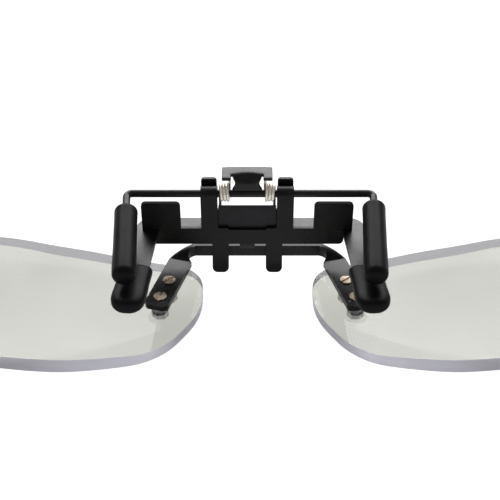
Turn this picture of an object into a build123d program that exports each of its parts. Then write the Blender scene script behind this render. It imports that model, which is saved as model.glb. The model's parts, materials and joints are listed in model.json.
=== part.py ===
"""A flip-up magnifier that clips onto spectacles, in millimetres.

It lies on its lens fronts: +X to the right, +Y towards the top of the lenses, +Z from the lens
fronts to the wearer. The origin is on the surface it lies on, midway between the two lenses and
level with their centres.
"""

from build123d import *
import os
from math import acos, cos, degrees, hypot, radians, sin, sqrt

# Lenses. Width, height and gap follow the boxing system of spectacles.
lens_width = 56.0
lens_height = 35.2
lens_gap = 19.8
front_radius = 85.0
back_radius = 130.0
lens_centre_thickness = 3.4

# Lens outline: corners as shares of the box, from the nose side, and their radii.
lens_corners = [
    (0.0, 0.655, 8.5),
    (0.39, 0.90, 60.0),
    (0.66, 1.0, 34.0),
    (1.0, 1.0, 10.0),
    (1.0, 0.45, 22.0),
    (0.80, 0.07, 18.0),
    (0.42, 0.0, 40.0),
    (0.12, 0.0, 9.5),
    (0.0, 0.30, 15.0),
]

# Lens fasteners
screw_radius = 0.7
screw_head_radius = 1.15
screw_head_thickness = 0.5
screw_slot_width = 0.35
screw_slot_depth = 0.22
screw_recess = 0.3
slot_angle = {"upper": 40.0, "lower": 77.0}
bushing_flange_radius = 1.55
bushing_flange_thickness = 1.1
bushing_barrel_radius = 1.15
nut_across_flats = 2.5
nut_thickness = 1.3
running_gap = 0.05
seat_margin = 0.2
edge_match = 0.01

# Lens bridge: a flat bar, an arm on each side, and a foot on each lens
bar_height = 2.3
bar_thickness = 1.0
bar_half_length = 11.6
bar_above_lens_centre = 9.75
bar_above_foot = 1.0
journal_radius = 1.25
foot_width = 4.4
foot_thickness = 1.0
foot_length = 13.9
foot_tip_round = 1.1
arm_turn = 48.0
arm_middle_share = 0.66
arm_middle_drop = 0.3
arm_middle_lift = 0.1
arm_extra_thickness = 0.7
foot_angle = 15.5
fold_offset_x = 14.4
fold_drop_y = 2.2
upper_screw_from_fold = 6.3
lower_screw_from_fold = 11.2

# Clip body, stamped from one gauge of sheet
sheet = 0.65
clip_off_centre = -1.9
rod_above_bar = 12.8
wire_radius = 0.7
rod_fit = 0.03
journal_fit = 0.05
wall_half_width = 16.2
wall_end_beyond_prong = 1.1
wall_end_round = 0.9
flange_below_rod = 6.7
wall_bottom_below_rod = 10.2
window_below_flange = 0.35
post_inner = 5.35
post_outer = 8.4
leg_inner = 3.45
leg_outer = 6.5
leg_tail_length = 2.85
leg_tail_angle = 24.0
leg_tail_round = 1.0
knuckle_wrap = 250.0
tab_inner = 12.05
tab_outer = 19.1
tab_top_below_rod = 0.75
tab_corner_round = 0.8
tab_root_height = 1.3

# Prong bracket
flange_back = 2.1
flange_corner_round = 3.0
flange_inner_round = 0.25
prong_inner = 16.6
prong_off_centre = 0.6
prong_width = 4.2
prong_length = 23.0
prong_splay = 4.5
prong_sleeve_width = 5.9
prong_sleeve_thickness = 3.0
prong_sleeve_start = 13.4
prong_sleeve_tip = 1.3
prong_sleeve_round = 1.3
prong_sleeve_flat = 0.6
bracket_web_inner = 6.6
bracket_web_depth = 2.6

# Back plate with the ears behind the posts
ear_inner = 5.5
ear_outer = 8.35
ear_top_above_rod = 2.2
ear_corner_round = 0.6
ear_bar_height = 2.2
back_plate_gap = 0.06

# Detent leaf
leaf_thickness = 0.35
leaf_half_width = 5.25
leaf_top_below_rod = 2.35
leaf_bend_below_rod = 3.25
leaf_bottom_below_rod = 9.7
leaf_tongue_half_width = 1.4
leaf_tongue_reach = 0.95
leaf_top_lean = 0.25

# Hinge seat
seat_half_width = 6.1
seat_hook_inner = 3.6
seat_hook_wrap = 190.0

# Rivets
rivet_radius = 0.6
rivet_head_radius = 1.0
rivet_head_thickness = 0.35
ear_rivet_radius = 0.45
ear_rivet_head_radius = 0.72
bracket_rivet_x = 11.0
seat_rivet_x = 4.6
ear_rivet_x = 6.75

# Jaw wire and its round sleeves
rod_half_length = 22.2
wire_off_centre = 0.5
wire_bend = 1.0
wire_prong_length = 20.4
wire_prong_inward = 1.3
wire_prong_drop = 3.1
wire_sleeve_radius = 2.05
wire_sleeve_start = {"left": 4.6, "right": 3.6}
wire_sleeve_tip = 1.0
wire_sleeve_shoulder = 0.8
wire_sleeve_tip_round = 1.4

# Thumb lever
lever_sheet = 0.7
lever_foot_half_width = 2.75
lever_foot_height = 1.5
lever_foot_round = 0.4
lever_neck_half_width = 2.3
lever_bend = 1.2
pad_above_rod = 3.95
pad_half_width = 4.55
pad_front = -0.95
pad_back = 2.9
pad_corner_round = 0.7
pad_lobe_gap = 0.25

# Torsion springs
spring_wire_radius = 0.27
spring_outer_radius = 1.75
spring_inner_end = 2.95
spring_outer_end = 5.2
spring_sag_y = 0.1
spring_sag_z = 0.25
spring_leg_gap = 0.06
spring_leg_below_leaf_bend = 1.5


# Places worked out from the sizes above
lens_centre_x = lens_gap / 2 + lens_width / 2


def front_height(r):
    """Height of a lens's front surface at a distance from its centre."""
    return front_radius - sqrt(front_radius**2 - r**2)


def back_height(r):
    """Height of a lens's back surface at a distance from its centre."""
    return lens_centre_thickness + back_radius - sqrt(back_radius**2 - r**2)


fold_y = bar_above_lens_centre - fold_drop_y
foot_x = sin(radians(foot_angle))
foot_y = -cos(radians(foot_angle))


def along_foot(distance):
    """Point on the right foot's centre line, at a distance from its fold."""
    return fold_offset_x + foot_x * distance, fold_y + foot_y * distance


def from_lens_centre(point):
    return hypot(point[0] - lens_centre_x, point[1])


screw_points = {"upper": along_foot(upper_screw_from_fold), "lower": along_foot(lower_screw_from_fold)}
screw_reach = [from_lens_centre(point) for point in screw_points.values()]
bushing_seat_z = back_height(min(screw_reach) - bushing_flange_radius)
nut_seat_z = front_height(max(screw_reach) + nut_across_flats / 2 + seat_margin)
foot_bottom_z = bushing_seat_z + bushing_flange_thickness
foot_top_z = foot_bottom_z + foot_thickness
bar_y = bar_above_lens_centre
bar_z = foot_top_z + bar_above_foot
rod_z = bar_z + rod_above_bar

journal_bore = journal_radius + journal_fit
rod_bore = wire_radius + rod_fit
wall_back_y = bar_y - journal_bore
wall_front_y = wall_back_y - sheet
rod_y = wall_back_y + rod_bore
leaf_back_y = wall_back_y + leaf_thickness
seat_back_y = leaf_back_y + sheet
flange_top_z = rod_z - flange_below_rod
flange_back_y = rod_y + flange_back
wall_bottom_z = rod_z - wall_bottom_below_rod
rivet_z = (flange_top_z - sheet + wall_bottom_z) / 2
post_middle = (post_inner + post_outer) / 2
leg_middle = (leg_inner + leg_outer) / 2
sides = {"left": -1, "right": 1}


def clip_x(x):
    """Row X of a place measured from the middle of the clip."""
    return clip_off_centre + x


def across(x):
    """Sketch plane across the object, facing +X, at a distance from the clip's middle."""
    return Plane.YZ.offset(clip_x(x))


def facing(y):
    """Sketch plane standing along X at one Y, facing the prong tips."""
    return Plane.XZ.offset(-y)


def save(builder, name):
    """Label a finished piece and write it."""
    builder.part.label = name
    export_step(builder.part, f"parts/{name}.step")


# Lenses and what fastens them


def lens_outline(side):
    """Corners of one lens's outline and their radii."""
    points = []
    for share_x, share_y, _ in lens_corners:
        x = side * (lens_gap / 2 + share_x * lens_width)
        points.append((x, (share_y - 0.5) * lens_height))
    return points, [radius for _, _, radius in lens_corners]


def make_lens(side):
    points, radii = lens_outline(side)
    centre = (side * lens_centre_x, 0)
    blank = back_height(hypot(lens_width, lens_height) / 2)
    holes = [(side * x, y) for x, y in screw_points.values()]
    with BuildPart() as lens:
        with BuildSketch(Plane.XY):
            with BuildLine():
                FilletPolyline(points, radius=radii, close=True)
            make_face()
        extrude(amount=blank)
        with Locations((*centre, front_radius)):
            Sphere(front_radius, rotation=(90, 0, 0), mode=Mode.INTERSECT)
        with Locations((*centre, lens_centre_thickness + back_radius)):
            Sphere(back_radius, rotation=(90, 0, 0), mode=Mode.SUBTRACT)
        with BuildSketch(Plane.XY.offset(bushing_seat_z)):
            with Locations(*holes):
                Circle(bushing_flange_radius + seat_margin)
        extrude(amount=blank, mode=Mode.SUBTRACT)
        with BuildSketch(Plane.XY.offset(nut_seat_z)):
            with Locations(*holes):
                Circle(nut_across_flats / sqrt(3) + seat_margin)
        extrude(amount=-blank, mode=Mode.SUBTRACT)
        with BuildSketch(Plane.XY):
            with Locations(*holes):
                Circle(bushing_barrel_radius + running_gap)
        extrude(amount=blank, mode=Mode.SUBTRACT)
    return lens


def make_bushing(x, y):
    """Flanged sleeve in a lens hole; its flange spaces the foot off the lens."""
    with BuildPart() as bushing:
        with BuildSketch(Plane.XY.offset(bushing_seat_z)):
            with Locations((x, y)):
                Circle(bushing_flange_radius)
        extrude(amount=bushing_flange_thickness)
        with BuildSketch(Plane.XY.offset(nut_seat_z)):
            with Locations((x, y)):
                Circle(bushing_barrel_radius)
        extrude(amount=bushing_seat_z - nut_seat_z)
        with BuildSketch(Plane.XY.offset(nut_seat_z)):
            with Locations((x, y)):
                Circle(screw_radius + running_gap)
        extrude(amount=foot_bottom_z - nut_seat_z, mode=Mode.SUBTRACT)
    return bushing


def make_screw(x, y, turn):
    """Slotted cheese-head screw, its head sunk a little into the foot."""
    head_bottom_z = foot_top_z - screw_recess
    shank_bottom_z = nut_seat_z - nut_thickness
    with BuildPart() as screw:
        with BuildSketch(Plane.XY.offset(shank_bottom_z)):
            with Locations((x, y)):
                Circle(screw_radius)
        extrude(amount=head_bottom_z - shank_bottom_z)
        with BuildSketch(Plane.XY.offset(head_bottom_z)):
            with Locations((x, y)):
                Circle(screw_head_radius)
        extrude(amount=screw_head_thickness)
        with BuildSketch(Plane.XY.offset(head_bottom_z + screw_head_thickness)):
            with Locations(Location((x, y), turn)):
                Rectangle(screw_head_radius * 3, screw_slot_width)
        extrude(amount=-screw_slot_depth, mode=Mode.SUBTRACT)
    return screw


def make_nut(x, y):
    """Plain hexagon nut on the lens front."""
    with BuildPart() as nut:
        with BuildSketch(Plane.XY.offset(nut_seat_z)):
            with Locations((x, y)):
                RegularPolygon(nut_across_flats / 2, 6, major_radius=False)
                Circle(screw_radius + rod_fit, mode=Mode.SUBTRACT)
        extrude(amount=-nut_thickness)
    return nut


# Lens bridge


def make_bridge():
    """Bar with its journals, curved arms and flat feet, in one piece."""
    fold_plane = Plane(
        origin=(fold_offset_x, fold_y, foot_bottom_z + foot_thickness / 2),
        x_dir=(-foot_y, foot_x, 0),
        z_dir=(foot_x, foot_y, 0),
    )
    bar_end = Plane(origin=(bar_half_length, bar_y, bar_z), x_dir=(0, 1, 0), z_dir=(1, 0, 0))
    mid_turn = radians(arm_turn)
    mid_x = bar_half_length + (fold_offset_x - bar_half_length) * arm_middle_share
    mid_y = bar_y - fold_drop_y * arm_middle_drop
    mid_z = (bar_z + foot_bottom_z + foot_thickness / 2) / 2 + arm_middle_lift
    mid_plane = Plane(
        origin=(mid_x, mid_y, mid_z),
        x_dir=(sin(mid_turn), cos(mid_turn), 0),
        z_dir=(cos(mid_turn), -sin(mid_turn), 0),
    )
    foot_plane = Plane(
        origin=(fold_offset_x, fold_y, foot_bottom_z),
        x_dir=(foot_x, foot_y, 0),
        z_dir=(0, 0, 1),
    )
    screw_spots = [(upper_screw_from_fold, 0), (lower_screw_from_fold, 0)]
    with BuildPart() as bridge:
        with BuildSketch(bar_end):
            Rectangle(bar_thickness, bar_height)
        with BuildSketch(mid_plane):
            Rectangle(bar_thickness + arm_extra_thickness, (bar_height + foot_thickness) / 2)
        with BuildSketch(fold_plane):
            Rectangle(foot_width, foot_thickness)
        loft()
        with BuildSketch(foot_plane) as foot:
            Rectangle(foot_length, foot_width, align=(Align.MIN, Align.CENTER))
            fillet(foot.vertices().group_by(Axis.X)[-1], foot_tip_round)
            with Locations(*screw_spots):
                Circle(screw_radius + running_gap, mode=Mode.SUBTRACT)
        extrude(amount=foot_thickness)
        with BuildSketch(foot_plane.offset(foot_thickness)):
            with Locations(*screw_spots):
                Circle(screw_head_radius + running_gap)
        extrude(amount=-screw_recess, mode=Mode.SUBTRACT)
        mirror(about=Plane.YZ)
        with BuildSketch(Plane.YZ.offset(-bar_half_length)):
            with Locations((bar_y, bar_z)):
                Rectangle(bar_thickness, bar_height)
        extrude(amount=2 * bar_half_length)
        for side in sides.values():
            with BuildSketch(across(side * leg_middle - journal_half_length())):
                with Locations((bar_y, bar_z)):
                    Circle(journal_radius)
            extrude(amount=2 * journal_half_length())
    return bridge


def journal_half_length():
    """Half of the round stretch of the bar behind one leg."""
    return (leg_outer - leg_inner) / 2 + running_gap


# Clip body


def make_front_plate():
    """Wall, rolled posts, legs with flared tails and the two stop tabs."""
    roll_radius = rod_bore + sheet / 2
    middle_y = wall_back_y - sheet / 2
    tail_top_z = bar_z - journal_radius / 2
    tail_run = leg_tail_length
    tail_lean = radians(leg_tail_angle)
    tail_tip = (middle_y - tail_run * sin(tail_lean), tail_top_z - tail_run * cos(tail_lean))
    post_width = post_outer - post_inner
    leg_width = leg_outer - leg_inner
    with BuildPart() as plate:
        with BuildSketch(facing(wall_back_y)):
            with Locations((clip_x(0), wall_bottom_z)):
                Rectangle(2 * wall_half_width, flange_top_z - wall_bottom_z, align=(Align.CENTER, Align.MIN))
        extrude(amount=sheet)
        with BuildSketch(facing(wall_back_y)) as lower_wall:
            with Locations((clip_x(0), wall_bottom_z)):
                lower_height = flange_top_z - sheet - running_gap - wall_bottom_z
                lower_width = 2 * (prong_inner + wall_end_beyond_prong)
                Rectangle(lower_width, lower_height, align=(Align.CENTER, Align.MIN))
            fillet(lower_wall.vertices().group_by(Axis.Y)[0], wall_end_round)
        extrude(amount=sheet)
        with BuildSketch(facing(wall_back_y)):
            with Locations((clip_x(0), flange_top_z)):
                Rectangle(2 * post_inner, 2 * window_below_flange)
        extrude(amount=sheet, mode=Mode.SUBTRACT)
        for side in sides.values():
            with BuildSketch(across(side * post_middle - post_width / 2)):
                with BuildLine():
                    Line((middle_y, wall_bottom_z), (middle_y, rod_z))
                    CenterArc((rod_y, rod_z), roll_radius, 180, -knuckle_wrap)
                trace(line_width=sheet)
            extrude(amount=post_width)
            with BuildSketch(across(side * leg_middle - leg_width / 2)):
                with BuildLine():
                    Polyline((middle_y, flange_top_z), (middle_y, tail_top_z), tail_tip)
                trace(line_width=sheet)
            extrude(amount=leg_width)
            tab_middle = side * (tab_inner + tab_outer) / 2
            tab_bottom = flange_top_z + running_gap
            tab_height = rod_z - tab_top_below_rod - tab_bottom
            with BuildSketch(facing(wall_front_y)):
                with Locations((clip_x(tab_middle), tab_bottom)):
                    Rectangle(tab_outer - tab_inner, tab_height, align=(Align.CENTER, Align.MIN))
            extrude(amount=sheet)
            root_start = tab_inner if side > 0 else -wall_half_width
            with BuildSketch(across(root_start)):
                Polygon(
                    (wall_front_y, tab_bottom),
                    (wall_front_y - sheet, tab_bottom),
                    (wall_front_y, tab_bottom - tab_root_height),
                    align=None,
                )
            extrude(amount=wall_half_width - tab_inner)
        fillet(tab_top_edges(plate), tab_corner_round)
        fillet(tail_tip_edges(plate), leg_tail_round)
        for x, radius in plate_rivet_holes():
            with BuildSketch(facing(wall_back_y)):
                with Locations((clip_x(x), rivet_z)):
                    Circle(radius)
            extrude(amount=sheet, mode=Mode.SUBTRACT)
    return plate


def plate_rivet_holes():
    """X of each rivet through the wall, with its radius."""
    return [(side * x, rivet_radius) for side in sides.values() for x in (bracket_rivet_x, seat_rivet_x)]


def tab_top_edges(plate):
    """Edges through the sheet at the upper corners of both stop tabs."""
    top_z = rod_z - tab_top_below_rod
    middle_y = wall_front_y - sheet / 2
    at_top = [edge for edge in plate.edges().filter_by(Axis.Y) if abs(edge.center().Z - top_z) < edge_match]
    return [edge for edge in at_top if abs(edge.center().Y - middle_y) < edge_match]


def tail_tip_edges(plate):
    """Edges through the sheet at the lowest corners of both tails."""
    lean = radians(leg_tail_angle)
    through = [edge for edge in plate.edges() if abs(edge.length - sheet) < edge_match]
    return [
        edge
        for edge in through
        if edge.center().Z < bar_z - leg_tail_length * cos(lean) and abs(edge.tangent_at(0.5).X) < edge_match
    ]


def prong_plane(side, z):
    """Plane along one flat prong: x runs from its root to its tip."""
    angle = radians(prong_splay)
    root = (clip_x(prong_off_centre + side * (prong_inner + prong_width / 2)), rod_y, z)
    return Plane(origin=root, x_dir=(side * sin(angle), -cos(angle), 0), z_dir=(0, 0, 1))


def prong_edge(outward, distance):
    """Point beside the right prong's middle line, at a distance from its root."""
    angle = radians(prong_splay)
    x = prong_inner + prong_width / 2 + outward * cos(angle) + distance * sin(angle)
    return x, rod_y + outward * sin(angle) - distance * cos(angle)


def prong_edge_at(outward, y):
    """The same, where the edge crosses one Y."""
    angle = radians(prong_splay)
    return prong_edge(outward, (rod_y + outward * sin(angle) - y) / cos(angle))


def bracket_plan():
    """Outline of the flange and both prongs from above, and its corner radii."""
    half_width = prong_width / 2
    notch = [(post_inner, leaf_back_y + running_gap), (post_inner, wall_back_y)]
    prong = [
        prong_edge_at(-half_width, wall_back_y),
        prong_edge(-half_width, prong_length),
        prong_edge(half_width, prong_length),
        prong_edge_at(half_width, flange_back_y),
    ]
    points = [(clip_x(x), y) for x, y in notch]
    points += [(clip_x(prong_off_centre + x), y) for x, y in prong]
    points += [(clip_x(prong_off_centre - x), y) for x, y in reversed(prong)]
    points += [(clip_x(-x), y) for x, y in reversed(notch)]
    radii = [0, 0, flange_inner_round, 0, 0, flange_corner_round]
    return points, radii + radii[::-1]


def make_prong_bracket():
    """Flange with a notch for the leaf, a web on each side and the two flat prongs."""
    points, radii = bracket_plan()
    flange_bottom_z = flange_top_z - sheet
    with BuildPart() as bracket:
        with BuildSketch(Plane.XY.offset(flange_bottom_z)):
            with BuildLine():
                FilletPolyline(points, radius=radii, close=True)
            make_face()
            with Locations(*[(clip_x(side * ear_rivet_x), ear_rivet_y()) for side in sides.values()]):
                Circle(ear_rivet_radius, mode=Mode.SUBTRACT)
        extrude(amount=sheet)
        for side in sides.values():
            web_middle = side * (bracket_web_inner + wall_half_width) / 2
            with BuildSketch(facing(wall_back_y + sheet)):
                with Locations((clip_x(web_middle), flange_top_z)):
                    Rectangle(
                        wall_half_width - bracket_web_inner,
                        sheet + bracket_web_depth,
                        align=(Align.CENTER, Align.MAX),
                    )
                with Locations((clip_x(side * bracket_rivet_x), rivet_z)):
                    Circle(rivet_radius, mode=Mode.SUBTRACT)
            extrude(amount=sheet)
    return bracket


def make_prong_sleeve(side):
    """Wide rubber sleeve, blind at the tip, on one flat prong."""
    middle_z = flange_top_z - sheet / 2
    length = prong_length + prong_sleeve_tip - prong_sleeve_start
    with BuildPart() as sleeve:
        with BuildSketch(prong_plane(side, middle_z - prong_sleeve_thickness / 2)):
            with Locations((prong_sleeve_start + length / 2, 0)):
                RectangleRounded(length, prong_sleeve_width, (prong_sleeve_width - prong_sleeve_flat) / 2)
        extrude(amount=prong_sleeve_thickness)
        fillet(sleeve.faces().filter_by(Axis.Z).edges(), prong_sleeve_round)
        with BuildSketch(prong_plane(side, flange_top_z - sheet)):
            Rectangle(prong_length, prong_width, align=(Align.MIN, Align.CENTER))
        extrude(amount=sheet, mode=Mode.SUBTRACT)
    return sleeve


def ear_front_y():
    """Front of the ears, just behind the rolled posts."""
    return rod_y + rod_bore + sheet + back_plate_gap


def ear_rivet_y():
    return (leaf_back_y + ear_front_y()) / 2


def make_back_plate():
    """Crossbar with two ears, and a foot that is riveted to the flange."""
    ear_width = ear_outer - ear_inner
    ear_height = rod_z + ear_top_above_rod - flange_top_z
    with BuildPart() as plate:
        with BuildSketch(facing(ear_front_y() + sheet)):
            for side in sides.values():
                with Locations((clip_x(side * (ear_inner + ear_outer) / 2), flange_top_z)):
                    Rectangle(ear_width, ear_height, align=(Align.CENTER, Align.MIN))
            with Locations((clip_x(0), flange_top_z)):
                Rectangle(2 * ear_outer, ear_bar_height, align=(Align.CENTER, Align.MIN))
        extrude(amount=sheet)
        top_corners = plate.edges().filter_by(Axis.Y).group_by(Axis.Z)[-1]
        fillet(top_corners, ear_corner_round)
        foot_front_y = leaf_back_y + 2 * running_gap
        foot_depth = ear_front_y() + sheet - foot_front_y
        with BuildSketch(Plane.XY.offset(flange_top_z)):
            with Locations((clip_x(0), foot_front_y)):
                Rectangle(2 * ear_outer, foot_depth, align=(Align.CENTER, Align.MIN))
            with Locations(*[(clip_x(side * ear_rivet_x), ear_rivet_y()) for side in sides.values()]):
                Circle(ear_rivet_radius, mode=Mode.SUBTRACT)
        extrude(amount=sheet)
    return plate


def make_leaf():
    """Spring panel in the window, with a tongue that presses on the flat of the bar."""
    middle_y = wall_back_y + leaf_thickness / 2
    tongue_tip = (bar_y - bar_thickness / 2 - leaf_thickness / 2 - running_gap, bar_z + leaf_tongue_reach)
    with BuildPart() as leaf:
        with BuildSketch(across(-leaf_half_width)):
            with BuildLine():
                Polyline(
                    (middle_y + leaf_top_lean, rod_z - leaf_top_below_rod),
                    (middle_y, rod_z - leaf_bend_below_rod),
                    (middle_y, wall_bottom_z),
                    tongue_tip,
                )
            trace(line_width=leaf_thickness)
        extrude(amount=2 * leaf_half_width)
        with BuildSketch(facing(bar_y)):
            with Locations((clip_x(0), rod_z)):
                Rectangle(2 * leaf_half_width, leaf_bottom_below_rod, align=(Align.CENTER, Align.MAX))
                Rectangle(2 * leaf_tongue_half_width, rod_above_bar, align=(Align.CENTER, Align.MAX))
            for side in sides.values():
                with Locations((clip_x(side * seat_rivet_x), rivet_z)):
                    Circle(rivet_radius, mode=Mode.SUBTRACT)
        extrude(amount=bar_y - wall_front_y, mode=Mode.INTERSECT)
    return leaf


def make_hinge_seat():
    """Plate behind the leaf, with a hook round the back of each journal."""
    middle_y = leaf_back_y + sheet / 2
    hook_radius = journal_bore + sheet / 2
    hook_width = seat_half_width - seat_hook_inner
    hook_start = 180 - degrees(acos((bar_y - middle_y) / hook_radius))
    hook_top_z = bar_z + hook_radius * sin(radians(hook_start))
    plate_top_z = flange_top_z - sheet - running_gap
    with BuildPart() as seat:
        with BuildSketch(facing(seat_back_y)):
            with Locations((clip_x(0), plate_top_z)):
                Rectangle(2 * seat_half_width, plate_top_z - wall_bottom_z, align=(Align.CENTER, Align.MAX))
            for side in sides.values():
                with Locations((clip_x(side * seat_rivet_x), rivet_z)):
                    Circle(rivet_radius, mode=Mode.SUBTRACT)
        extrude(amount=sheet)
        for side in sides.values():
            start = seat_hook_inner if side > 0 else -seat_half_width
            with BuildSketch(across(start)):
                with BuildLine():
                    Line((middle_y, wall_bottom_z + sheet), (middle_y, hook_top_z))
                trace(line_width=sheet)
                with BuildLine():
                    CenterArc((bar_y, bar_z), hook_radius, hook_start, -seat_hook_wrap)
                trace(line_width=sheet)
            extrude(amount=hook_width)
    return seat


def make_wall_rivets(rivet_x, stack):
    """Two rivets through the wall and what is behind it, flush in front, headed at the back."""
    with BuildPart() as rivets:
        for side in sides.values():
            with BuildSketch(facing(wall_front_y + stack)):
                with Locations((clip_x(side * rivet_x), rivet_z)):
                    Circle(rivet_radius)
            extrude(amount=stack)
            with BuildSketch(facing(wall_front_y + stack)):
                with Locations((clip_x(side * rivet_x), rivet_z)):
                    Circle(rivet_head_radius)
            extrude(amount=-rivet_head_thickness)
    return rivets


def make_ear_rivets():
    """Two rivets through the back plate's foot and the flange."""
    with BuildPart() as rivets:
        for side in sides.values():
            spot = (clip_x(side * ear_rivet_x), ear_rivet_y())
            with BuildSketch(Plane.XY.offset(flange_top_z - sheet)):
                with Locations(spot):
                    Circle(ear_rivet_radius)
            extrude(amount=2 * sheet)
            with BuildSketch(Plane.XY.offset(flange_top_z + sheet)):
                with Locations(spot):
                    Circle(ear_rivet_head_radius)
            extrude(amount=rivet_head_thickness)
    return rivets


# Jaw: the wire, its sleeves and the thumb lever


def wire_corner(side):
    """Where the straight rod and one prong would meet."""
    return Vector(clip_x(wire_off_centre + side * rod_half_length), rod_y, rod_z)


def wire_tip(side):
    along = wire_prong_direction(side)
    return wire_corner(side) + along * wire_prong_length


def wire_prong_direction(side):
    run = sqrt(wire_prong_length**2 - wire_prong_inward**2 - wire_prong_drop**2)
    return Vector(-side * wire_prong_inward, -run, -wire_prong_drop).normalized()


def make_jaw_wire():
    with BuildPart() as wire:
        with BuildLine() as route:
            FilletPolyline(wire_tip(-1), wire_corner(-1), wire_corner(1), wire_tip(1), radius=wire_bend)
        with BuildSketch(Plane(origin=route.line @ 0, z_dir=route.line % 0)):
            Circle(wire_radius)
        sweep()
    return wire


def make_wire_sleeve(side, start_from_corner):
    """Round rubber sleeve, blind at the tip, on one wire prong."""
    along = wire_prong_direction(side)
    start = wire_corner(side) + along * start_from_corner
    depth = wire_prong_length - start_from_corner
    with BuildPart() as sleeve:
        with BuildSketch(Plane(origin=start, z_dir=along)):
            Circle(wire_sleeve_radius)
        extrude(amount=depth + wire_sleeve_tip)
        fillet(sleeve.faces().sort_by(Axis.Y)[-1].edges(), wire_sleeve_shoulder)
        fillet(sleeve.faces().sort_by(Axis.Y)[0].edges(), wire_sleeve_tip_round)
        with BuildSketch(Plane(origin=start, z_dir=along)):
            Circle(wire_radius)
        extrude(amount=depth, mode=Mode.SUBTRACT)
    return sleeve


def make_thumb_lever():
    """Plate welded along the wire, with a neck bent back into a T-shaped thumb pad."""
    pad_bottom_z = rod_z + pad_above_rod - lever_sheet
    pad_middle_z = pad_bottom_z + lever_sheet / 2
    with BuildPart() as lever:
        with BuildSketch(across(-lever_neck_half_width)):
            with BuildLine():
                FilletPolyline(
                    (rod_y, rod_z),
                    (rod_y, pad_middle_z),
                    (rod_y + pad_back, pad_middle_z),
                    radius=lever_bend,
                )
            trace(line_width=lever_sheet)
        extrude(amount=2 * lever_neck_half_width)
        with BuildSketch(facing(rod_y + lever_sheet / 2)) as foot:
            with Locations((clip_x(0), rod_z)):
                Rectangle(2 * lever_foot_half_width, lever_foot_height, align=(Align.CENTER, Align.MIN))
            fillet(foot.vertices().group_by(Axis.Y)[-1], lever_foot_round)
        extrude(amount=lever_sheet)
        with BuildSketch(Plane.XY.offset(pad_bottom_z)) as pad:
            with Locations((clip_x(0), rod_y + pad_back)):
                Rectangle(2 * pad_half_width, pad_back - pad_front, align=(Align.CENTER, Align.MAX))
            fillet(pad.vertices(), pad_corner_round)
            with Locations((clip_x(0), rod_y + pad_front)):
                Rectangle(
                    2 * (lever_neck_half_width + pad_lobe_gap),
                    lever_bend - pad_front,
                    align=(Align.CENTER, Align.MIN),
                    mode=Mode.SUBTRACT,
                )
        extrude(amount=lever_sheet)
        with BuildSketch(across(-lever_foot_half_width)):
            with Locations((rod_y, rod_z)):
                Circle(wire_radius)
        extrude(amount=2 * lever_foot_half_width, mode=Mode.SUBTRACT)
    return lever


def make_spring(side):
    """Outer shape of one torsion spring: its coil, a leg behind the panel and one under the pad."""
    coil_y = rod_y + spring_sag_y
    coil_z = rod_z + spring_sag_z
    middle_radius = spring_outer_radius - spring_wire_radius
    coil_length = spring_outer_end - spring_inner_end
    start = spring_inner_end if side > 0 else -spring_outer_end
    low_leg_y = leaf_back_y + leaf_top_lean + spring_wire_radius + spring_leg_gap
    low_leg_x = side * (spring_outer_end - spring_wire_radius - running_gap)
    pad_bottom_z = rod_z + pad_above_rod - lever_sheet
    high_leg_x = side * (spring_inner_end + spring_wire_radius + running_gap)
    high_leg_y = coil_y + middle_radius
    low_leg_top_z = coil_z - sqrt(middle_radius**2 - (low_leg_y - coil_y) ** 2)
    with BuildPart() as spring:
        with BuildSketch(across(start)):
            with Locations((coil_y, coil_z)):
                Circle(spring_outer_radius)
                Circle(spring_outer_radius - 2 * spring_wire_radius, mode=Mode.SUBTRACT)
        extrude(amount=coil_length)
        with BuildSketch(Plane.XY.offset(low_leg_top_z)):
            with Locations((clip_x(low_leg_x), low_leg_y)):
                Circle(spring_wire_radius)
        extrude(amount=rod_z - leaf_bend_below_rod - spring_leg_below_leaf_bend - low_leg_top_z)
        with BuildSketch(Plane.XY.offset(coil_z)):
            with Locations((clip_x(high_leg_x), high_leg_y)):
                Circle(spring_wire_radius)
        extrude(amount=pad_bottom_z - spring_leg_gap - coil_z)
    return spring


os.makedirs("parts", exist_ok=True)

for side_name, side in sides.items():
    save(make_lens(side), f"lens_{side_name}")
    for level, (x, y) in screw_points.items():
        save(make_bushing(side * x, y), f"lens_bushing_{side_name}_{level}")
        save(make_screw(side * x, y, slot_angle[level]), f"lens_screw_{side_name}_{level}")
        save(make_nut(side * x, y), f"lens_nut_{side_name}_{level}")
    save(make_prong_sleeve(side), f"prong_sleeve_{side_name}")
    save(make_wire_sleeve(side, wire_sleeve_start[side_name]), f"wire_sleeve_{side_name}")
    save(make_spring(side), f"torsion_spring_{side_name}")

save(make_bridge(), "lens_bridge")
save(make_front_plate(), "front_plate")
save(make_prong_bracket(), "prong_bracket")
save(make_back_plate(), "back_plate")
save(make_leaf(), "detent_leaf")
save(make_hinge_seat(), "hinge_seat")
save(make_wall_rivets(bracket_rivet_x, 2 * sheet), "bracket_rivets")
save(make_wall_rivets(seat_rivet_x, 2 * sheet + leaf_thickness), "seat_rivets")
save(make_ear_rivets(), "ear_rivets")
save(make_jaw_wire(), "jaw_wire")
save(make_thumb_lever(), "thumb_lever")
print("bar", bar_y, bar_z, "rod", rod_y, rod_z, "flange", flange_top_z, "seat", bushing_seat_z, nut_seat_z)
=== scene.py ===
"""Looks of the flip-up clip-on magnifier, in metres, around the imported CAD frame."""

import json
import math

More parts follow.
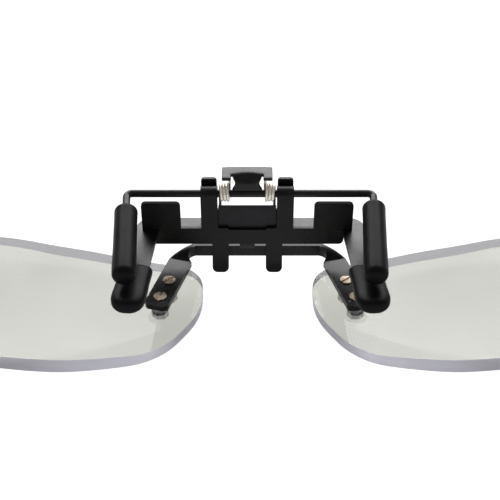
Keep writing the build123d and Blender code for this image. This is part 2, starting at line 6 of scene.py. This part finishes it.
import bmesh
import bpy
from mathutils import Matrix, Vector


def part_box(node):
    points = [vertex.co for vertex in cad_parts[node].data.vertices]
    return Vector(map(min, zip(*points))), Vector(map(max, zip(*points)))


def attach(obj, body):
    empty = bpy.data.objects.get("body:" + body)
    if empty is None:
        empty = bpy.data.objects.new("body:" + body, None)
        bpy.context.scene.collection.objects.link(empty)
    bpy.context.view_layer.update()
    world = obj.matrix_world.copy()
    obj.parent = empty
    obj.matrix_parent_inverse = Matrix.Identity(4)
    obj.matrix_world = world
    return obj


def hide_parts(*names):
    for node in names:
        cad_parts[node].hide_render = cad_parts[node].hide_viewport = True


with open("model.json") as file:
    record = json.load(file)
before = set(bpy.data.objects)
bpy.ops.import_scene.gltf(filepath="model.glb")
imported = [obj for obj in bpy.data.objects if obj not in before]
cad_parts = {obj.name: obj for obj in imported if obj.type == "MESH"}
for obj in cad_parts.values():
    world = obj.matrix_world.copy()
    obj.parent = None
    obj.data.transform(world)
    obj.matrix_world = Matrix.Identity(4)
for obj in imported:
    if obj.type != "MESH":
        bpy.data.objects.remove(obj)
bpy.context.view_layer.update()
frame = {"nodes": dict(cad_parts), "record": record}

MM = 0.001
JOINTS = {joint["name"]: joint for joint in frame["record"]["behaviour"]["joints"]}
ROD = Vector(JOINTS["jaw_open"]["pos_m"])
SIDES = {"left": -1, "right": 1}


# Materials


class Nodes:
    """Short way to build one material's node tree."""

    def __init__(self, name):
        self.material = bpy.data.materials.new(name)
        self.material.use_nodes = True
        self.tree = self.material.node_tree
        self.shader = self.tree.nodes["Principled BSDF"]
        self.coords = self.tree.nodes.new("ShaderNodeTexCoord").outputs["Object"]

    def set(self, **values):
        for name, value in values.items():
            self.shader.inputs[name.replace("_", " ")].default_value = value

    def link(self, output, socket):
        self.tree.links.new(output, self.shader.inputs[socket])

    def noise(self, size, detail=3.0, distortion=0.0, stretch=(1, 1, 1)):
        """Noise whose grains are about `size` metres across."""
        mapping = self.tree.nodes.new("ShaderNodeMapping")
        mapping.inputs["Scale"].default_value = [part / size for part in stretch]
        self.tree.links.new(self.coords, mapping.inputs["Vector"])
        node = self.tree.nodes.new("ShaderNodeTexNoise")
        node.inputs["Scale"].default_value = 1
        node.inputs["Detail"].default_value = detail
        node.inputs["Distortion"].default_value = distortion
        self.tree.links.new(mapping.outputs["Vector"], node.inputs["Vector"])
        return node.outputs["Fac"]

    def speckle(self, size):
        """Round grains about `size` metres apart, as a distance from each grain's middle."""
        mapping = self.tree.nodes.new("ShaderNodeMapping")
        mapping.inputs["Scale"].default_value = (1 / size, 1 / size, 1 / size)
        self.tree.links.new(self.coords, mapping.inputs["Vector"])
        node = self.tree.nodes.new("ShaderNodeTexVoronoi")
        node.inputs["Scale"].default_value = 1
        self.tree.links.new(mapping.outputs["Vector"], node.inputs["Vector"])
        return node.outputs["Distance"]

    def ramp(self, factor, *stops):
        node = self.tree.nodes.new("ShaderNodeValToRGB")
        ramp = node.color_ramp
        while len(ramp.elements) < len(stops):
            ramp.elements.new(0.5)
        for element, (place, colour) in zip(ramp.elements, stops):
            element.position = place
            element.color = (*colour, 1)
        self.tree.links.new(factor, node.inputs["Fac"])
        return node.outputs["Color"]

    def span(self, factor, low, high, from_low=0.0, from_high=1.0):
        node = self.tree.nodes.new("ShaderNodeMapRange")
        node.inputs["From Min"].default_value = from_low
        node.inputs["From Max"].default_value = from_high
        node.inputs["To Min"].default_value = low
        node.inputs["To Max"].default_value = high
        self.tree.links.new(factor, node.inputs["Value"])
        return node.outputs["Result"]

    def sum(self, first, second, share=1.0):
        node = self.tree.nodes.new("ShaderNodeMath")
        node.operation = "MULTIPLY_ADD"
        node.inputs[1].default_value = share
        self.tree.links.new(second, node.inputs[0])
        self.tree.links.new(first, node.inputs[2])
        return node.outputs[0]

    def mix(self, factor, first, second):
        node = self.tree.nodes.new("ShaderNodeMix")
        node.data_type = "RGBA"
        self.tree.links.new(factor, node.inputs["Factor"])
        for socket, value in (("A", first), ("B", second)):
            target = [s for s in node.inputs if s.name == socket and s.type == "RGBA"][0]
            if isinstance(value, tuple):
                target.default_value = (*value, 1)
            else:
                self.tree.links.new(value, target)
        return [s for s in node.outputs if s.type == "RGBA"][0]

    def bump(self, height, depth):
        node = self.tree.nodes.new("ShaderNodeBump")
        node.inputs["Distance"].default_value = depth
        node.inputs["Strength"].default_value = 1.0
        self.tree.links.new(height, node.inputs["Height"])
        self.link(node.outputs["Normal"], "Normal")

    def edges(self, radius):
        """1 on sharp edges, 0 on flats: how far the rounded normal turns from the true one."""
        bevel = self.tree.nodes.new("ShaderNodeBevel")
        bevel.samples = 4
        bevel.inputs["Radius"].default_value = radius
        geometry = self.tree.nodes.new("ShaderNodeNewGeometry")
        dot = self.tree.nodes.new("ShaderNodeVectorMath")
        dot.operation = "DOT_PRODUCT"
        self.tree.links.new(bevel.outputs["Normal"], dot.inputs[0])
        self.tree.links.new(geometry.outputs["Normal"], dot.inputs[1])
        return self.span(dot.outputs["Value"], 1.0, 0.0, 0.78, 0.99)


def painted_black(name, grain, grain_depth, roughness, wear=0.5, gloss=0.25):
    """Black baked enamel on steel: fine orange peel, faint dust in the grain, rubbed edges."""
    made = Nodes(name)
    cloud = made.noise(2.4 * MM)
    fine = made.noise(grain, detail=2)
    grains = made.speckle(grain)
    colour = made.ramp(cloud, (0.35, (0.0045, 0.0043, 0.0045)), (0.7, (0.0085, 0.0080, 0.0080)))
    dusty = made.mix(made.span(fine, 0.0, 0.5, 0.55, 0.75), colour, (0.016, 0.015, 0.015))
    worn = made.mix(made.span(made.edges(0.07 * MM), 0.0, wear), dusty, (0.035, 0.032, 0.03))
    made.link(worn, "Base Color")
    mottle = made.sum(cloud, fine, 0.6)
    made.link(made.span(mottle, roughness - 0.08, roughness + 0.10, 0.4, 1.2), "Roughness")
    made.set(Specular_IOR_Level=gloss)
    made.bump(made.sum(fine, grains, 0.8), grain_depth)
    return made.material


def wire_material():
    """Black oxide over drawn wire, with faint drawing marks round it."""
    made = Nodes("wire_black_oxide")
    cloud = made.noise(1.8 * MM)
    marks = made.noise(0.12 * MM, stretch=(0.06, 1, 1))
    colour = made.ramp(cloud, (0.3, (0.004, 0.004, 0.0045)), (0.75, (0.013, 0.012, 0.012)))
    made.link(colour, "Base Color")
    made.link(made.span(made.sum(cloud, marks, 0.5), 0.26, 0.44, 0.5, 1.0), "Roughness")
    made.set(Specular_IOR_Level=0.2)
    made.bump(marks, 0.006 * MM)
    return made.material


def leaf_material():
    """Blued spring steel with soft grinding marks across it."""
    made = Nodes("leaf_blued_steel")
    cloud = made.noise(2.6 * MM, distortion=0.6)
    marks = made.noise(0.16 * MM, stretch=(0.05, 1, 1))
    colour = made.ramp(cloud, (0.3, (0.0075, 0.0066, 0.0085)), (0.72, (0.0125, 0.0108, 0.0150)))
    worn = made.mix(made.span(made.edges(0.05 * MM), 0.0, 0.7), colour, (0.09, 0.085, 0.09))
    made.link(worn, "Base Color")
    made.link(made.span(made.sum(cloud, marks, 0.6), 0.24, 0.42, 0.5, 1.1), "Roughness")
    made.set(Specular_IOR_Level=0.15)
    made.bump(marks, 0.008 * MM)
    return made.material


def rubber_material():
    """Soft black sleeve rubber: matt, a little mottled, with moulding grain."""
    made = Nodes("sleeve_rubber_soft")
    cloud = made.noise(3.2 * MM, distortion=0.4)
    grain = made.noise(0.10 * MM, detail=2)
    colour = made.ramp(cloud, (0.3, (0.0038, 0.0038, 0.0045)), (0.72, (0.0070, 0.0070, 0.0082)))
    made.link(colour, "Base Color")
    made.link(made.span(made.sum(cloud, grain, 0.5), 0.36, 0.50, 0.5, 1.1), "Roughness")
    made.set(Specular_IOR_Level=0.05)
    made.bump(made.sum(grain, cloud, 0.5), 0.010 * MM)
    return made.material


def metal(
    name, dark, light, rough_low, rough_high, mark_size, stretch, tarnish, tarnish_colour, metallic=1.0
):
    """Bare or plated metal with tool marks and patches of tarnish."""
    made = Nodes(name)
    cloud = made.noise(0.9 * MM, distortion=0.5)
    marks = made.noise(mark_size, stretch=stretch)
    colour = made.ramp(cloud, (0.3, dark), (0.7, light))
    stained = made.mix(made.span(made.noise(0.35 * MM), 0.0, tarnish, 0.5, 0.7), colour, tarnish_colour)
    made.link(stained, "Base Color")
    made.link(made.span(marks, rough_low, rough_high), "Roughness")
    made.set(Metallic=metallic)
    made.bump(marks, 0.006 * MM)
    return made.material


def lens_material():
    """Clear resin with a violet-grey rim; the low IOR stands for its anti-reflection coating.

    The rim is where the lens's own normal turns away from its axis, so it holds when the lens flips.
    """
    made = Nodes("lens_coated_resin")
    cloud = made.noise(14 * MM, distortion=0.5)
    own_normal = made.tree.nodes.new("ShaderNodeTexCoord").outputs["Normal"]
    split = made.tree.nodes.new("ShaderNodeSeparateXYZ")
    made.tree.links.new(own_normal, split.inputs[0])
    flat = made.tree.nodes.new("ShaderNodeMath")
    flat.operation = "ABSOLUTE"
    made.tree.links.new(split.outputs["Z"], flat.inputs[0])
    rim = made.span(flat.outputs[0], 1.0, 0.0, 0.35, 0.75)
    face = made.ramp(cloud, (0.3, (0.49, 0.495, 0.455)), (0.7, (0.525, 0.53, 0.49)))
    corner = made.span(made.edges(0.16 * MM), 0.0, 0.55)
    rim_colour = made.mix(corner, (0.56, 0.555, 0.62), (0.34, 0.33, 0.42))
    made.link(made.mix(rim, face, rim_colour), "Base Color")
    made.link(made.span(rim, 0.02, 0.40), "Roughness")
    made.link(made.span(rim, 1.0, 0.45), "Transmission Weight")
    made.set(IOR=1.14, Specular_Tint=(0.55, 0.50, 0.75, 1))
    return made.material


def clear_plastic():
    """Clear nylon with a slightly uneven surface."""
    made = Nodes("bushing_clear_nylon")
    cloud = made.noise(0.8 * MM)
    made.link(made.ramp(cloud, (0.3, (0.80, 0.80, 0.78)), (0.7, (0.92, 0.92, 0.90))), "Base Color")
    made.link(made.span(cloud, 0.18, 0.36), "Roughness")
    made.set(Transmission_Weight=0.85, IOR=1.49)
    made.bump(cloud, 0.01 * MM)
    return made.material


CLIP_BLACK = painted_black("clip_black_enamel", 0.16 * MM, 0.012 * MM, 0.38, gloss=0.14)
STRIP_BLACK = painted_black("prong_black_enamel", 0.22 * MM, 0.022 * MM, 0.34, gloss=0.27)
BRIDGE_BLACK = painted_black("bridge_gloss_black", 0.30 * MM, 0.003 * MM, 0.27, gloss=0.15)
LEVER_BLACK = painted_black("lever_black_enamel", 0.20 * MM, 0.008 * MM, 0.34, gloss=0.22)
WIRE_BLACK = wire_material()
LEAF_BLUE = leaf_material()
RUBBER = rubber_material()
SPRING_NICKEL = metal(
    "spring_nickel_plate", (0.80, 0.74, 0.64), (0.93, 0.89, 0.82), 0.20, 0.38,
    0.10 * MM, (1, 1, 1), 0.30, (0.34, 0.24, 0.15), metallic=0.45,
)
SCREW_COPPER = metal(
    "screw_copper_turned", (0.24, 0.185, 0.135), (0.52, 0.43, 0.34), 0.22, 0.40,
    0.12 * MM, (1, 1, 0.2), 0.55, (0.12, 0.07, 0.05),
)
NUT_STEEL = metal(
    "nut_zinc_steel", (0.42, 0.41, 0.40), (0.62, 0.61, 0.59), 0.28, 0.46,
    0.14 * MM, (1, 1, 0.3), 0.3, (0.16, 0.14, 0.12),
)
RIVET_STEEL = painted_black("rivet_black_steel", 0.14 * MM, 0.010 * MM, 0.34, wear=0.9, gloss=0.35)
LENS = lens_material()
BUSHING = clear_plastic()


# Pieces

WELD = 0.0005 * MM
FLAT_ANGLE = math.radians(0.6)
SHARP_ANGLE = math.radians(38)
SPRING_WIRE = 0.26 * MM
SPRING_TURNS = 3.0
SPRING_ABOVE_ROD = 0.25 * MM
SPRING_LEG_SHARE = 0.62
PRONG_SPLAY = math.radians(4.5)


def finish_piece(name, mesh, material, body, slot, *nodes):
    """Link a mesh as one piece that rides on a body and stands for CAD nodes."""
    mesh.materials.clear()
    mesh.materials.append(material)
    piece = bpy.data.objects.new(name, mesh)
    bpy.context.collection.objects.link(piece)
    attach(piece, body)
    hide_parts(*nodes)
    return piece


def mesh_from(work, name):
    mesh = bpy.data.meshes.new(name)
    bmesh.ops.recalc_face_normals(work, faces=work.faces)
    work.to_mesh(mesh)
    work.free()
    for polygon in mesh.polygons:
        polygon.use_smooth = True
    return mesh


def apply_modifiers(piece):
    """Bake a piece's modifiers into its mesh."""
    graph = bpy.context.evaluated_depsgraph_get()
    mesh = bpy.data.meshes.new_from_object(piece.evaluated_get(graph))
    piece.modifiers.clear()
    piece.data = mesh
    return piece


def eased_copy(node, material, body, slot, width):
    """The node's own shape with its sharp edges eased, as stamping and enamel leave them."""
    work = bmesh.new()
    work.from_mesh(frame["nodes"][node].data)
    bmesh.ops.remove_doubles(work, verts=work.verts, dist=WELD)
    bmesh.ops.dissolve_limit(
        work, angle_limit=FLAT_ANGLE, verts=work.verts, edges=work.edges, delimit={"NORMAL"}
    )
    sharp = [
        edge for edge in work.edges
        if len(edge.link_faces) == 2 and edge.calc_face_angle(0) > SHARP_ANGLE
    ]
    bmesh.ops.bevel(
        work, geom=sharp, offset=width, segments=2, profile=0.5,
        affect="EDGES", clamp_overlap=True,
    )
    mesh = mesh_from(work, node + "_eased")
    piece = finish_piece(node + "_eased", mesh, material, body, slot, node)
    shade = piece.modifiers.new("weighted", "WEIGHTED_NORMAL")
    shade.keep_sharp = False
    shade.weight = 80
    return piece


def tube(points, radius, sides):
    """Round tube along points, with flat ends, as a bmesh."""
    work = bmesh.new()
    rings = []
    previous = None
    for index, point in enumerate(points):
        ahead = points[min(index + 1, len(points) - 1)]
        behind = points[max(index - 1, 0)]
        along = (ahead - behind).normalized()
        if previous is None:
            previous = along.orthogonal().normalized()
        across = (previous - along * previous.dot(along)).normalized()
        previous = across
        other = along.cross(across)
        ring = []
        for step in range(sides):
            angle = 2 * math.pi * step / sides
            offset = across * math.cos(angle) + other * math.sin(angle)
            ring.append(work.verts.new(point + offset * radius))
        rings.append(ring)
    for first, second in zip(rings, rings[1:]):
        for step in range(sides):
            after = (step + 1) % sides
            work.faces.new((first[step], first[after], second[after], second[step]))
    work.faces.new(rings[0])
    work.faces.new(rings[-1])
    return work


def lathe(profile, origin, along, sides=48):
    """Turn (distance, radius) pairs round a line; a radius of 0 closes an end."""
    work = bmesh.new()
    along = along.normalized()
    across = along.orthogonal().normalized()
    other = along.cross(across)
    rings = []
    for distance, radius in profile:
        centre = origin + along * distance
        if radius == 0:
            rings.append([work.verts.new(centre)])
            continue
        ring = []
        for step in range(sides):
            angle = 2 * math.pi * step / sides
            spoke = across * math.cos(angle) + other * math.sin(angle)
            ring.append(work.verts.new(centre + spoke * radius))
        rings.append(ring)
    for first, second in zip(rings, rings[1:]):
        for step in range(sides):
            after = (step + 1) % sides
            if len(first) == 1:
                work.faces.new((first[0], second[after], second[step]))
            elif len(second) == 1:
                work.faces.new((first[step], first[after], second[0]))
            else:
                work.faces.new((first[step], first[after], second[after], second[step]))
    return work


def smooth_profile(points, steps):
    """Catmull-Rom curve through tuples of equal length."""
    result = []
    for index in range(len(points) - 1):
        before = points[max(index - 1, 0)]
        start = points[index]
        end = points[index + 1]
        after = points[min(index + 2, len(points) - 1)]
        for step in range(steps):
            t = step / steps
            pair = []
            for axis in range(len(start)):
                a, b, c, d = before[axis], start[axis], end[axis], after[axis]
                value = 2 * b + (c - a) * t + (2 * a - 5 * b + 4 * c - d) * t * t
                value += (3 * b - a - 3 * c + d) * t**3
                pair.append(value / 2)
            result.append(tuple(pair))
    result.append(tuple(points[-1]))
    return result


def make_spring(side_name):
    """Wound torsion spring: a coil on the wire, a leg behind the leaf and one under the pad."""
    node = "torsion_spring_" + side_name
    side = SIDES[side_name]
    low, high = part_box(node)
    coil_radius = (high.y - low.y) / 2 - SPRING_WIRE
    centre_y = (high.y + low.y) / 2
    centre_z = ROD.z + SPRING_ABOVE_ROD
    reach = [abs(low.x - ROD.x), abs(high.x - ROD.x)]
    inner = min(reach) + SPRING_WIRE
    outer = max(reach) - SPRING_WIRE
    steps = 96
    end_angle = -2 * math.pi * SPRING_TURNS - math.asin(SPRING_LEG_SHARE)
    upper_leg_x = ROD.x + side * inner
    points = [
        Vector((upper_leg_x, centre_y + coil_radius, high.z - SPRING_WIRE)),
        Vector((upper_leg_x, centre_y + coil_radius, centre_z + 0.9 * MM)),
    ]
    for step in range(steps + 1):
        share = step / steps
        angle = end_angle * share
        unevenness = 1 + 0.02 * math.sin(5 * angle * 0.37)
        points.append(Vector((
            ROD.x + side * (inner + (outer - inner) * share),
            centre_y + coil_radius * unevenness * math.cos(angle),
            centre_z + coil_radius * unevenness * math.sin(angle),
        )))
    last = points[-1]
    points.append(Vector((last.x, last.y, last.z - 0.5 * MM)))
    points.append(Vector((last.x, last.y, low.z)))
    mesh = mesh_from(tube(points, SPRING_WIRE, sides=14), node + "_wound")
    return finish_piece(node + "_wound", mesh, SPRING_NICKEL, "clip", "spring_nickel", node)


def make_lever():
    """Thumb lever: a waisted neck from the wire, bent back into a flat pad with two front lobes."""
    low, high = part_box("thumb_lever")
    half = (high.x - low.x) / 2
    middle = Vector(((low.x + high.x) / 2, ROD.y, ROD.z))
    thick = 0.72 * MM
    top = high.z - middle.z - thick / 2 - 0.01 * MM
    front = low.y - middle.y
    back = high.y - middle.y
    root = 2.6 * MM
    crest_start = 2.1
    # neck rows: depth, height and half width; pad rows: depth and how far its surface drops
    neck = [
        (0.0, 0.60, 2.72), (0.0, 0.95, 2.72), (0.0, 1.25, 2.62), (0.0, 1.6, 2.34), (0.0, 2.1, 2.18),
        (0.0, 2.5, 2.26), (0.05, 2.9, 2.50),
    ]
    shares = [-1, -0.8, -0.5, -0.25, 0, 0.25, 0.5, 0.8, 1]
    work = bmesh.new()
    rows = []
    for y, z, width in neck:
        crest = 0.5 * max(z - crest_start, 0.0) / 0.8
        rows.append([
            work.verts.new(middle + Vector((share * width * MM, (y + crest * (1 - share**2)) * MM, z * MM)))
            for share in shares
        ])
    pad_rows = [
        (0.28 * MM, 0.16), (0.75 * MM, 0.03), (1.4 * MM, 0.0), (2.1 * MM, 0.0),
        (back - 0.25 * MM, 0.0), (back - 0.02 * MM, 0.03),
    ]
    for row, (y, drop) in enumerate(pad_rows):
        crest = max(0.5 - 0.2 * row, 0.0) * MM
        rows.append([
            work.verts.new(middle + Vector((share * root, y + crest * (1 - share**2), top - drop * MM)))
            for share in shares
        ])
    for first, second in zip(rows, rows[1:]):
        for index in range(len(shares) - 1):
            work.faces.new((first[index], first[index + 1], second[index + 1], second[index]))
    lobe_columns = [2.85 * MM, 3.4 * MM, 3.95 * MM, half - 0.28 * MM, half - 0.01 * MM]
    lobe_front = [(front + 0.03 * MM, 0.16), (front + 0.25 * MM, 0.06), (-0.1 * MM, 0.02)]
    for side in (-1, 1):
        edge = 0 if side < 0 else -1
        columns = [[row[edge] for row in rows[len(neck):]]]
        for x in lobe_columns:
            sag = 0.10 * MM * ((x - root) / (half - root)) ** 2
            columns.append([
                work.verts.new(middle + Vector((side * x, y, top - 0.3 * drop * MM - sag)))
                for y, drop in pad_rows
            ])
        for first, second in zip(columns, columns[1:]):
            for index in range(len(pad_rows) - 1):
                work.faces.new((first[index], second[index], second[index + 1], first[index + 1]))
        lips = []
        for column in columns[1:]:
            x = column[0].co.x
            lips.append([
                work.verts.new(Vector((x, middle.y + y, middle.z + top - drop * MM - 0.05 * MM)))
                for y, drop in lobe_front
            ])
        for index in range(len(lips) - 1):
            for row in range(len(lobe_front) - 1):
                work.faces.new((
                    lips[index][row], lips[index + 1][row], lips[index + 1][row + 1], lips[index][row + 1]
                ))
            work.faces.new((
                lips[index][-1], lips[index + 1][-1], columns[index + 2][0], columns[index + 1][0]
            ))
    mesh = mesh_from(work, "thumb_lever_formed")
    piece = finish_piece("thumb_lever_formed", mesh, LEVER_BLACK, "jaw", "frame_black", "thumb_lever")
    solid = piece.modifiers.new("thickness", "SOLIDIFY")
    solid.thickness = thick
    solid.offset = 0
    smooth = piece.modifiers.new("smooth", "SUBSURF")
    smooth.levels = smooth.render_levels = 2
    return apply_modifiers(piece)


def make_wire_sleeve(side_name):
    """Pushed-on round sleeve: a lipped mouth, a slightly full body and a domed blind tip."""
    node = "wire_sleeve_" + side_name
    start, along, length, radius = sleeve_line(node)
    mouth = [
        (0.10, 0.0), (0.06, 0.45), (0.0, 0.68), (0.03, 0.86), (0.22, 0.965), (0.6, 0.995), (1.4, 0.985),
    ]
    body = [(share * length / MM, bulge) for share, bulge in (
        (0.2, 0.975), (0.35, 0.98), (0.5, 0.975), (0.65, 0.985), (0.8, 1.0),
    )]
    tip = [(length / MM - gap, bulge) for gap, bulge in (
        (1.5, 0.995), (1.0, 0.965), (0.6, 0.88), (0.28, 0.70), (0.08, 0.40), (0.0, 0.0),
    )]
    pairs = smooth_profile(mouth + body + tip, steps=5)
    turned = [(distance * MM, max(share, 0.0) * radius) for distance, share in pairs]
    between = [pair for pair in turned[1:-1] if pair[1] > 0]
    turned = [(turned[0][0], 0), *between, (turned[-1][0], 0)]
    mesh = mesh_from(lathe(turned, start, along), node + "_soft")
    return finish_piece(node + "_soft", mesh, RUBBER, "jaw", "sleeve_rubber", node)


def sleeve_line(node):
    """Start, direction, length and radius of a round sleeve, from its CAD node's vertices."""
    vertices = [v.co.copy() for v in frame["nodes"][node].data.vertices]
    centre = sum(vertices, Vector()) / len(vertices)
    along = principal_axis(vertices, centre)
    if along.y > 0:
        along = -along
    distances = [(v - centre).dot(along) for v in vertices]
    start, end = min(distances), max(distances)
    radius = max(((v - centre) - along * (v - centre).dot(along)).length for v in vertices)
    return centre + along * start, along, end - start, radius


def principal_axis(vertices, centre):
    """Direction in which the vertices spread most."""
    axis = Vector((0, -1, 0))
    for _ in range(40):
        total = Vector()
        for vertex in vertices:
            arm = vertex - centre
            total += arm * arm.dot(axis)
        axis = total.normalized()
    return axis


def make_prong_sleeve(side_name):
    """Wide sleeve on a flat prong: a rounded slab that fills out towards its blind tip."""
    node = "prong_sleeve_" + side_name
    vertices = [v.co.copy() for v in frame["nodes"][node].data.vertices]
    centre = sum(vertices, Vector()) / len(vertices)
    low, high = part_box(node)
    side = SIDES[side_name]
    along = Vector((side * math.sin(PRONG_SPLAY), -math.cos(PRONG_SPLAY), 0))
    across = Vector((math.cos(PRONG_SPLAY), side * math.sin(PRONG_SPLAY), 0))
    up = Vector((0, 0, 1))
    spans = [(v - centre).dot(along) for v in vertices]
    widths = [(v - centre).dot(across) for v in vertices]
    start, end = min(spans), max(spans)
    half_width = (max(widths) - min(widths)) / 2
    middle = centre + across * (max(widths) + min(widths)) / 2
    middle.z = (low.z + high.z) / 2
    half_height = (high.z - low.z) / 2
    length = end - start
    # share of the length, then of the half width and of the half height
    stations = [
        (0.000, 0.55, 0.35), (0.004, 0.80, 0.66), (0.02, 0.93, 0.86), (0.06, 0.975, 0.95),
        (0.14, 0.97, 0.96), (0.30, 0.965, 0.965), (0.45, 0.975, 0.975), (0.60, 0.99, 0.99),
        (0.72, 1.0, 1.0), (0.80, 0.975, 0.995), (0.87, 0.90, 0.97), (0.92, 0.80, 0.92),
        (0.96, 0.64, 0.83), (0.985, 0.44, 0.66), (0.997, 0.22, 0.40),
    ]
    sides = 40
    power = 2.6
    work = bmesh.new()
    rings = []
    for share, wide, tall in smooth_profile(stations, steps=3):
        point = middle + along * (start + share * length)
        ring = []
        for step in range(sides):
            angle = 2 * math.pi * step / sides
            c, s = math.cos(angle), math.sin(angle)
            x = math.copysign(abs(c) ** (2 / power), c) * half_width * wide
            z = math.copysign(abs(s) ** (2 / power), s) * half_height * tall
            ring.append(work.verts.new(point + across * x + up * z))
        rings.append(ring)
    for first, second in zip(rings, rings[1:]):
        for step in range(sides):
            after = (step + 1) % sides
            work.faces.new((first[step], first[after], second[after], second[step]))
    work.faces.new(rings[0])
    tip = work.verts.new(middle + along * end)
    for step in range(sides):
        work.faces.new((rings[-1][step], rings[-1][(step + 1) % sides], tip))
    mesh = mesh_from(work, node + "_soft")
    return finish_piece(node + "_soft", mesh, RUBBER, "clip", "sleeve_rubber", node)


def repaint(node, material):
    """Give a carried-over CAD node its finish."""
    for slot in frame["nodes"][node].material_slots:
        slot.material = material


eased_copy("front_plate", CLIP_BLACK, "clip", "frame_black", 0.12 * MM)
eased_copy("prong_bracket", STRIP_BLACK, "clip", "frame_black", 0.10 * MM)
eased_copy("back_plate", CLIP_BLACK, "clip", "frame_black", 0.10 * MM)
eased_copy("detent_leaf", LEAF_BLUE, "clip", "leaf_blued", 0.05 * MM)
eased_copy("hinge_seat", CLIP_BLACK, "clip", "frame_black", 0.08 * MM)
eased_copy("lens_bridge", BRIDGE_BLACK, "lens_set", "frame_black", 0.14 * MM)
for side_name in SIDES:
    make_spring(side_name)
    make_wire_sleeve(side_name)
    make_prong_sleeve(side_name)
    repaint("lens_" + side_name, LENS)
    for level in ("upper", "lower"):
        tail = side_name + "_" + level
        eased_copy("lens_screw_" + tail, SCREW_COPPER, "lens_set", "screw_copper", 0.07 * MM)
        eased_copy("lens_nut_" + tail, NUT_STEEL, "lens_set", "nut_steel", 0.07 * MM)
        repaint("lens_bushing_" + tail, BUSHING)
make_lever()
for node in ("bracket_rivets", "seat_rivets"):
    repaint(node, CLIP_BLACK)
repaint("ear_rivets", RIVET_STEEL)
repaint("jaw_wire", WIRE_BLACK)


# Scene

CAMERA_FROM_ROD = Vector((0.5, -151.6, 97.57)) * MM
CAMERA_ELEVATION = math.radians(36)
CAMERA_LENS = 72
LIGHT_FROM_ROD = Vector((0.0, 0.34, 0.27))
LIGHT_SIZE = (0.60, 0.34)
LIGHT_POWER = 5.0
FLOOR_HALF = 1.5


def make_camera():
    """Looks down at the clip from the prong side, at the photograph's viewing angle."""
    camera = bpy.data.cameras.new("camera")
    camera.lens = CAMERA_LENS
    camera.clip_start = 0.01
    holder = bpy.data.objects.new("camera", camera)
    holder.location = ROD + CAMERA_FROM_ROD
    holder.rotation_euler = (math.pi / 2 - CAMERA_ELEVATION, 0, 0)
    bpy.context.collection.objects.link(holder)
    bpy.context.scene.camera = holder


def make_floor():
    """Plain white floor that gives off light, so that no shadow greys it."""
    mesh = bpy.data.meshes.new("floor")
    half = FLOOR_HALF
    corners = [(-half, -half, 0), (half, -half, 0), (half, half, 0), (-half, half, 0)]
    mesh.from_pydata(corners, [], [(0, 1, 2, 3)])
    floor = bpy.data.objects.new("floor", mesh)
    bpy.context.collection.objects.link(floor)
    material = bpy.data.materials.new("floor_white")
    material.use_nodes = True
    shader = material.node_tree.nodes["Principled BSDF"]
    shader.inputs["Base Color"].default_value = (0.15, 0.15, 0.15, 1)
    shader.inputs["Roughness"].default_value = 0.9
    shader.inputs["Specular IOR Level"].default_value = 0.0
    shader.inputs["Emission Color"].default_value = (1, 1, 1, 1)
    shader.inputs["Emission Strength"].default_value = 1.0
    mesh.materials.append(material)


def area_light(name, place, target, size, power):
    light = bpy.data.lights.new(name, "AREA")
    light.shape = "RECTANGLE"
    light.size, light.size_y = size
    light.energy = power
    holder = bpy.data.objects.new(name, light)
    holder.location = place
    holder.rotation_euler = (Vector(target) - Vector(place)).to_track_quat("-Z", "Y").to_euler()
    bpy.context.collection.objects.link(holder)


def make_light():
    """Dim white room and one soft box behind and above the clip."""
    world = bpy.data.worlds.new("studio")
    world.use_nodes = True
    background = world.node_tree.nodes["Background"]
    background.inputs["Color"].default_value = (1, 1, 1, 1)
    background.inputs["Strength"].default_value = 0.35
    bpy.context.scene.world = world
    area_light("back_box", ROD + LIGHT_FROM_ROD, ROD, LIGHT_SIZE, LIGHT_POWER)


bpy.context.scene.view_settings.view_transform = "Standard"
make_camera()
make_floor()
make_light()
